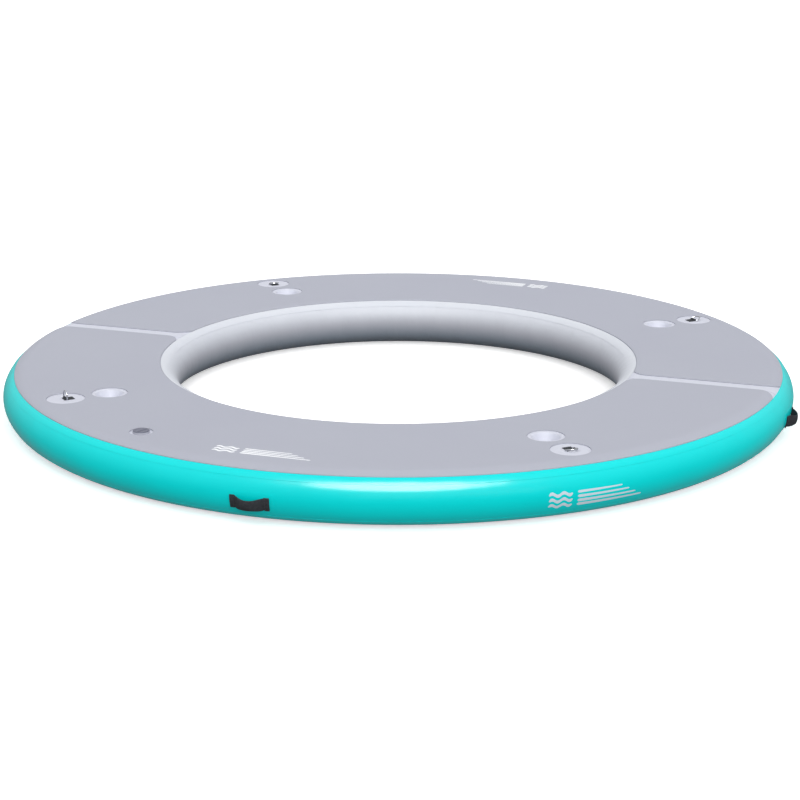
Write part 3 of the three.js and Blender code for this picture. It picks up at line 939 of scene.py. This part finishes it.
# the strap's middle line over its patch: how far it stands out at a distance along the wall
def strapRise(x):
    arch = handle["span"] / 2 - handle["foot"]
    if abs(x) >= arch:
        return 0.0
    return handle["rise"] * cos(pi * x / (2 * arch)) ** handle["arch"]


def strapPoint(co, lift):
    rise = strapRise(co.x)
    free = rise / handle["rise"]
    seated = wrapped(Vector((co.x, co.y, lift + rise)), handleHeight, patchFace)
    around = co.x / outerRadius
    crown = handle["crown"] * (1 - (2 * co.y / handle["strapWidth"]) ** 2)
    lean = handle["lean"] * co.y
    reach = (patchFace + lift + rise + crown * free + lean) * handle["settled"]
    radius = outerCentre + reach
    height = handleHeight + co.y * (1 - handle["waist"] * free) - handle["sag"] * free
    flat = Vector((radius * cos(around), radius * sin(around), height))
    share = free * free * (3 - 2 * free)
    return seated.lerp(flat, share)


def handleStrap():
    obj = keepPlace(sheet(handle["span"], handle["strapWidth"], 56, 10))
    moveVerts(obj, lambda co: strapPoint(co, handle["strapGap"]))
    faceOut(obj, lambda co: Vector((1, 0, 0)))
    thicken(obj, handle["thickness"], 1)
    soften(obj, handle["strapEdge"])
    return smooth(obj, 50)


def handleBand(side):
    centre = side * (handle["span"] - handle["foot"]) / 2
    obj = keepPlace(sheet(handle["foot"], handle["bandWidth"], 6, 12, centre))
    lift = handle["thickness"] + handle["bandGap"]
    moveVerts(obj, lambda co: wrapped(Vector((co.x, co.y, lift)), handleHeight, patchFace))
    faceOut(obj, fromEdge)
    thicken(obj, handle["bandThickness"], 1)
    soften(obj, handle["bandEdge"])
    return smooth(obj, 50)


# two rows across each band and a few stitches along its ends
def bandStitches():
    lift = handle["thickness"] + handle["bandGap"] + handle["bandThickness"]
    places = []
    for side in (-1, 1):
        middleX = side * (handle["span"] - handle["foot"]) / 2
        for x in (middleX - 0.0065, middleX + 0.0065):
            places += [(x, -0.0235 + i * 0.0047, lift, 0) for i in range(11)]
        for y in (-handle["bandWidth"] / 2, handle["bandWidth"] / 2):
            places += [(middleX - 0.0045 + i * 0.0045, y, lift, pi / 2) for i in range(3)]
    row = rowOfStitches("handleStitches", places)
    moveVerts(row, lambda co: wrapped(co, handleHeight, patchFace))
    return row


patchMade, strapMade = handlePatch(), handleStrap()
strapMade = joined("handleStrap", strapMade, handleBand(-1), handleBand(1))
stitchesMade = bandStitches()
for side in ("right", "back", "left", "front"):
    turn = Matrix.Rotation(azimuthOf(middleOf(f"handle_strap_{side}")), 4, "Z")
    made = copied(patchMade, f"handlePatch_{side}", turn)
    fixed(made, "teal_pvc", tealLook, f"handle_patch_{side}")
    made = copied(strapMade, f"handleStrap_{side}", turn)
    fixed(made, "black_webbing", webbingLook, f"handle_strap_{side}")
    made = copied(stitchesMade, f"handleStitches_{side}", turn)
    fixed(made, "black_webbing", threadLook)
removed(patchMade, strapMade, stitchesMade)
print("handles made")

marks = {"ink": 0.00025, "lift": 0.0001, "start": -0.196, "waves": 3, "waveLength": 0.094,
         "waveHeight": 0.0052, "waveWidth": 0.0120, "waveSpacing": 0.0225, "stripeStart": -0.082,
         "stripeEnd": 0.196, "stripeStep": 0.03, "stripes": (0.0125, 0.0115, 0.0105, 0.0095),
         "stripeSpacing": 0.0168, "stripeTaper": 0.5, "wallHeight": 0.086,
         "onDeck": (("front", -90, 0.198), ("back", 87.5, 0.226)),
         "onWall": (("front", -45.1), ("back", 134.9))}


def printedLine(start, end, height, width, taper, swing):
    obj = sheet(end - start, width, 48, 3, (start + end) / 2)

    def drawn(co):
        share = (co.x - start) / (end - start)
        ends = min(1, sqrt(max(0, min(share, 1 - share) * (end - start) / (width / 2))))
        y = co.y * (1 - taper * share) * max(0.15, ends)
        return Vector((co.x, height + y + swing * sin(4 * pi * share), 0))

    moveVerts(obj, drawn)
    return obj


# three waves and four stripes that run out to the right
def printedMark():
    lines = []
    start = marks["start"]
    for i in range(marks["waves"]):
        height = (i - (marks["waves"] - 1) / 2) * marks["waveSpacing"]
        lines.append(printedLine(start, start + marks["waveLength"], height,
                                 marks["waveWidth"], 0.0, marks["waveHeight"]))
    start = marks["stripeStart"]
    for i, width in enumerate(marks["stripes"]):
        height = (i - (len(marks["stripes"]) - 1) / 2) * marks["stripeSpacing"]
        end = marks["stripeEnd"] - marks["stripeStep"] * i
        lines.append(printedLine(start, end, height, width, marks["stripeTaper"], 0.0))
    return joined("mark", *lines)


markMade = printedMark()
for side, azimuth, inset in marks["onDeck"]:
    seat = onRing(radians(azimuth), outerRadius - inset, deckTop + marks["lift"])
    made = copied(markMade, f"deckMark_{side}", seat @ Matrix.Rotation(pi / 2, 4, "Z"))
    faceOut(made, lambda co: Vector((0, 0, 1)))
    thicken(made, marks["ink"], 1)
    fixed(made, "deck_foam", deckInkLook)
for side, azimuth in marks["onWall"]:
    made = copied(markMade, f"wallMark_{side}")
    moveVerts(made, lambda co: wrapped(co, marks["wallHeight"], edgeRadius + marks["lift"]))
    made.data.transform(Matrix.Rotation(radians(azimuth), 4, "Z"))
    faceOut(made, fromEdge)
    thicken(made, marks["ink"], 1)
    smooth(made)
    fixed(made, "teal_pvc", wallInkLook)
removed(markMade)
print("marks made")

# the valve is modelled round the Z axis over the skin, its lug towards -X
valve = {"bore": 0.0195, "wall": 0.004, "barrel": 0.030, "flange": 0.033, "flangeHeight": 0.006,
         "edge": 0.0025, "chamfer": 0.0005, "socket": 0.0273, "socketFloor": 0.001,
         "seatDepth": 0.022, "seatThickness": 0.003, "seatWidth": 0.004, "plug": 0.0263,
         "plugWall": 0.002, "head": 0.031, "headThickness": 0.0026, "dish": 0.002, "rim": 0.006,
         "bevel": 0.001, "bar": 0.007, "tether": 0.0014, "tetherWidth": 0.007, "lugWidth": 0.009,
         "reach": 0.044, "hub": 0.007, "stem": 0.0027, "disc": 0.003, "discGap": 0.0015,
         "button": 0.003, "grips": 36, "gripWidth": 0.0016}
spring = {"radius": 0.005, "wire": 0.0005, "height": 0.0094, "turns": 4}


def bar(start, end, width, low, high, edge=0.0005):
    deselect()
    bpy.ops.mesh.primitive_cube_add(size=1, location=((start + end) / 2, 0, (low + high) / 2))
    obj = bpy.context.object
    obj.scale = (end - start, width, high - low)
    settle(obj)
    return soften(obj, edge)


# the points of a profile that round off its outer top corner
def roundedCorner(radius, top, edge):
    turns = [step / 4 * pi / 2 for step in range(1, 5)]
    return [(radius - edge * (1 - cos(turn)), top - edge * (1 - sin(turn))) for turn in turns]


def valveBody():
    v = valve
    seatTop = v["seatThickness"] - v["seatDepth"]
    barrel = v["bore"] + v["wall"]
    gap = chamber["gap"]
    top = v["flangeHeight"]
    profile = [(v["bore"], -v["barrel"]), (barrel, -v["barrel"]), (barrel, gap),
               (v["flange"], gap), (v["flange"], top - v["edge"])]
    profile += roundedCorner(v["flange"], top, v["edge"])
    lip = v["bore"] - v["seatWidth"]
    profile += [(v["socket"] + v["chamfer"], top), (v["socket"], top - v["chamfer"]),
                (v["socket"], v["socketFloor"]), (v["bore"], v["socketFloor"]),
                (v["bore"], seatTop), (lip, seatTop), (lip, -v["seatDepth"]),
                (v["bore"], -v["seatDepth"])]
    body = turned("valveBody", profile, 72)
    guide = v["stem"] + v["chamfer"]
    hub = turned("hub", [(guide, -v["seatDepth"]), (v["hub"], -v["seatDepth"]),
                         (v["hub"], seatTop), (guide, seatTop)], 32)
    arms = [bar(side * v["hub"] * 0.9, side * (v["bore"] + v["chamfer"]), v["bar"],
                -v["seatDepth"], seatTop) for side in (-1, 1)]
    lug = bar(-v["reach"], -v["socket"] - 0.001, v["lugWidth"], gap, top, 0.0012)
    return smooth(joined("valveBody", body, hub, lug, *arms), 40)


def capTether():
    v = valve
    low = v["flangeHeight"] + chamber["gap"]
    high = low + v["tether"]
    outside = v["head"] - chamber["gap"]
    collar = turned("collar", [(v["socket"], low), (outside, low), (outside, high),
                               (v["socket"], high)], 64)
    tail = bar(-v["reach"], -v["socket"] - 0.001, v["tetherWidth"], low, high, 0.0004)
    return smooth(joined("capTether", collar, tail), 40)


def valveCap():
    v = valve
    low = v["flangeHeight"] + 2 * chamber["gap"] + v["tether"]
    top = low + v["headThickness"]
    dish = top - v["dish"]
    ceiling = dish - v["dish"]
    plugLow = v["socketFloor"] + 0.001
    hollow = v["plug"] - v["plugWall"]
    profile = [(0, ceiling), (hollow, ceiling), (hollow, plugLow),
               (v["plug"] - v["chamfer"], plugLow), (v["plug"], plugLow + v["chamfer"]),
               (v["plug"], low), (v["head"] - 0.0004, low), (v["head"], low + 0.0004),
               (v["head"], top - v["bevel"])]
    profile += roundedCorner(v["head"], top, v["bevel"])
    rim = v["head"] - v["rim"]
    profile += [(rim, top), (rim - 0.0006, top - 0.0002), (rim - v["dish"], dish + 0.0003),
                (rim - v["dish"] - 0.0006, dish), (0.004, dish), (0, dish)]
    cap = turned("valveCap", profile, 2 * v["grips"], closed=False)
    length = rim + v["bevel"] / 2
    thumb = bar(-length, length, v["bar"], dish - 0.0008, top, 0.0009)
    one = bar(v["head"] - 0.0012, v["head"] + 0.0002, v["gripWidth"], low + 0.0004, top - 0.0004,
              0.0003)
    grips = [copied(one, "grip", Matrix.Rotation(2 * pi * i / v["grips"], 4, "Z"))
             for i in range(v["grips"])]
    removed(one)
    return smooth(joined("valveCap", cap, thumb, *grips), 40)


def poppet():
    v = valve
    discTop = -v["seatDepth"] - chamber["gap"]
    discLow = discTop - v["disc"]
    disc = v["bore"] - v["discGap"]
    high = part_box("valve_poppet")[1].z - deckBase
    low = high - v["button"]
    profile = [(0, discLow), (disc - 0.0008, discLow), (disc, discLow + 0.0008), (disc, discTop),
               (v["stem"], discTop), (v["stem"], low), (v["hub"], low), (v["hub"], high - 0.001),
               (v["hub"] - 0.0003, high - 0.0003), (v["hub"] - 0.001, high), (0, high)]
    return smooth(turned("valvePoppet", profile, 40, closed=False), 40)


springLow = valve["seatThickness"] - valve["seatDepth"] + chamber["gap"]


def valveSpring():
    wire, turns = spring["wire"], spring["turns"]
    deselect()
    bpy.ops.mesh.primitive_circle_add(vertices=10, radius=wire, rotation=(pi / 2, 0, 0),
                                      location=(spring["radius"], 0, springLow + wire))
    obj = settle(bpy.context.object)
    pitch = (spring["height"] - 2 * wire) / turns
    modify(obj, "SCREW", axis="Z", angle=2 * pi, screw_offset=pitch, iterations=turns,
           steps=28, render_steps=28)
    edit(obj, whole=True)
    bpy.ops.mesh.remove_doubles(threshold=1e-6)
    bpy.ops.mesh.fill_holes(sides=0)
    bpy.ops.mesh.normals_make_consistent(inside=False)
    done("valveSpring")
    return smooth(keepPlace(obj), 60)


seat = seatOf("valve_cap", deckBase)
for made, body, slot, look, node in (
        (valveBody(), "platform", "valve_plastic", valveLook, "valve_body"),
        (capTether(), "cap_tether", "seal_rubber", tetherLook, "cap_tether"),
        (valveCap(), "valve_cap", "valve_plastic", capLook, "valve_cap"),
        (poppet(), "valve_poppet", "valve_plastic", valveLook, "valve_poppet")):
    made.data.transform(seat)
    made.data.update()
    piece(made, body, slot, look, node)

# the spring's foot stands on the seat; the points of its foot and top are worked out
made = valveSpring()
made.data.transform(seat)
made.data.update()
made.data.materials.clear()
made.data.materials.append(steelLook)
foot, head = (seat @ Vector((0, 0, springLow + rise)) for rise in (0, spring["height"]))
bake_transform(made)
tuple(foot)
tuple(head)
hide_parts("valve_spring")
print("valve made")

# frame pieces that stay as they are, out of sight
kept = {"valve_gasket": rubberLook, "valve_nut": valveLook,
        "bottom_joint_tape_left": greyLook, "bottom_joint_tape_right": greyLook}
kept.update({f"drop_yarns_row_{i}": yarnLook for i in range(1, 5)})
for node, look in kept.items():
    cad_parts[node].data.materials.clear()
    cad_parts[node].data.materials.append(look)

studio = {"floor": 500, "floorShade": (0.98, 0.98, 0.98, 1), "floorGlow": 0.42, "sky": 1.12,
          "below": 0.22, "fade": (-0.15, 0.8), "fill": 0.55, "fillSpread": 25, "fillElevation": 22,
          "fillOffsets": (0, 30), "sheen": 11.0, "sheenSpread": 38, "sheenElevation": 58,
          "sheenOffset": 1}
view = {"azimuth": 19.5, "elevation": 16.25, "distance": 8.849, "lens": 92.03, "sensor": 36,
        "shift": (0.002, 0.00075), "farthest": 900}

# the floor stays out of what the pieces reflect and gather
deselect()
bpy.ops.mesh.primitive_plane_add(size=studio["floor"], location=(0, 0, -0.0005))
floor = bpy.context.object
floor.name = "floor"
floor.data.materials.append(Surface("paleFloor").finish(
    Base_Color=studio["floorShade"], Roughness=0.9, Specular_IOR_Level=0.0,
    Emission_Strength=studio["floorGlow"]))
floor.visible_diffuse = floor.visible_glossy = False


# unit vector from the middle of the ring to something at an azimuth from -Y and an elevation
def towards(azimuth, elevation):
    a, e = radians(azimuth), radians(elevation)
    return Vector((sin(a) * cos(e), -cos(a) * cos(e), sin(e)))


# a white sky that is dimmer below the floor, so that undersides fall off into shade
world = bpy.data.worlds.new("studio")
bpy.context.scene.world = world
world.use_nodes = True
tree = world.node_tree
coordinates, split, ramp = (tree.nodes.new(f"ShaderNode{kind}")
                            for kind in ("TexCoord", "SeparateXYZ", "MapRange"))
tree.links.new(coordinates.outputs["Generated"], split.inputs[0])
tree.links.new(split.outputs["Z"], ramp.inputs["Value"])
for key, value in zip(("From Min", "From Max", "To Min", "To Max"),
                      (*studio["fade"], studio["below"], studio["sky"])):
    ramp.inputs[key].default_value = value
tree.links.new(ramp.outputs[0], tree.nodes["Background"].inputs["Strength"])
tree.nodes["Background"].inputs["Color"].default_value = (1, 1, 1, 1)


def softSun(name, energy, spread, offset, elevation):
    data = bpy.data.lights.new(name, "SUN")
    data.energy, data.angle = energy, radians(spread)
    sun = bpy.data.objects.new(name, data)
    bpy.context.scene.collection.objects.link(sun)
    aim = towards(view["azimuth"] + offset, elevation)
    sun.rotation_euler = aim.to_track_quat("Z", "Y").to_euler()
    return sun


# two low fills for the colours, and a wide high one that is only seen as sheen
for number, offset in enumerate(studio["fillOffsets"]):
    fill = softSun(f"fill{number}", studio["fill"], studio["fillSpread"], offset,
                   studio["fillElevation"])
    fill.visible_glossy = False
sheen = softSun("sheen", studio["sheen"], studio["sheenSpread"], studio["sheenOffset"],
                studio["sheenElevation"])
sheen.visible_diffuse = False
back = towards(view["azimuth"], view["elevation"])

data = bpy.data.cameras.new("camera")
camera = bpy.data.objects.new("camera", data)
bpy.context.scene.collection.objects.link(camera)
camera.location = back * view["distance"]
camera.rotation_mode = "QUATERNION"
camera.rotation_quaternion = (-back).to_track_quat("-Z", "Y")
data.lens, data.sensor_width = view["lens"], view["sensor"]
data.shift_x, data.shift_y = view["shift"]
data.clip_end = view["farthest"]
bpy.context.scene.camera = camera
bpy.context.scene.view_settings.view_transform = "Standard"
